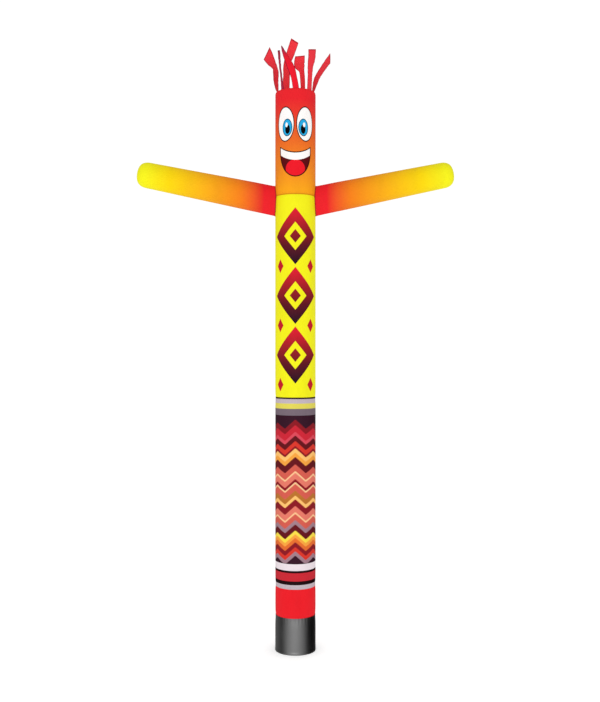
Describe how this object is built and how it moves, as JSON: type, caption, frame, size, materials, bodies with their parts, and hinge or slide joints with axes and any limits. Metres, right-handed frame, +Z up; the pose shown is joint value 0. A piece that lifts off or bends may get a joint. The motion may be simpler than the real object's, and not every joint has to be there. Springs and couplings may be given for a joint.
{
  "type": "inflatable air dancer",
  "caption": "Tall blown-up cloth tube figure with two raised tapered arms, loose streamer hair, a printed face and body, and an open black sleeve at its base that fits over a blower outlet.",
  "frame": {"origin": "centre of the base sleeve's hem, on the ground", "axes": "+Z up along the tube; the printed face looks along -Y; +X to the right as seen from the front"},
  "size_m": [3.6106, 0.463, 6.9929],
  "materials": {
    "sleeve_cloth": "coated, soft sheen",
    "band_cloth": "plain ripstop",
    "print_cloth": "printed ripstop",
    "torso_cloth": "printed ripstop",
    "head_cloth": "printed ripstop",
    "arm_cloth": "printed ripstop",
    "hair_cloth": "plain ripstop"
  },
  "bodies": {
    "root": {"base_sleeve": "sleeve_cloth", "red_band": "band_cloth", "print_panel": "print_cloth", "torso_panel": "torso_cloth", "head_panel": "head_cloth", "crown": "hair_cloth", "arm_left": "arm_cloth", "arm_right": "arm_cloth", "streamer_1": "hair_cloth", "streamer_2": "hair_cloth", "streamer_3": "hair_cloth", "streamer_4": "hair_cloth", "streamer_5": "hair_cloth", "streamer_6": "hair_cloth", "streamer_7": "hair_cloth"}
  },
  "joints": []
}
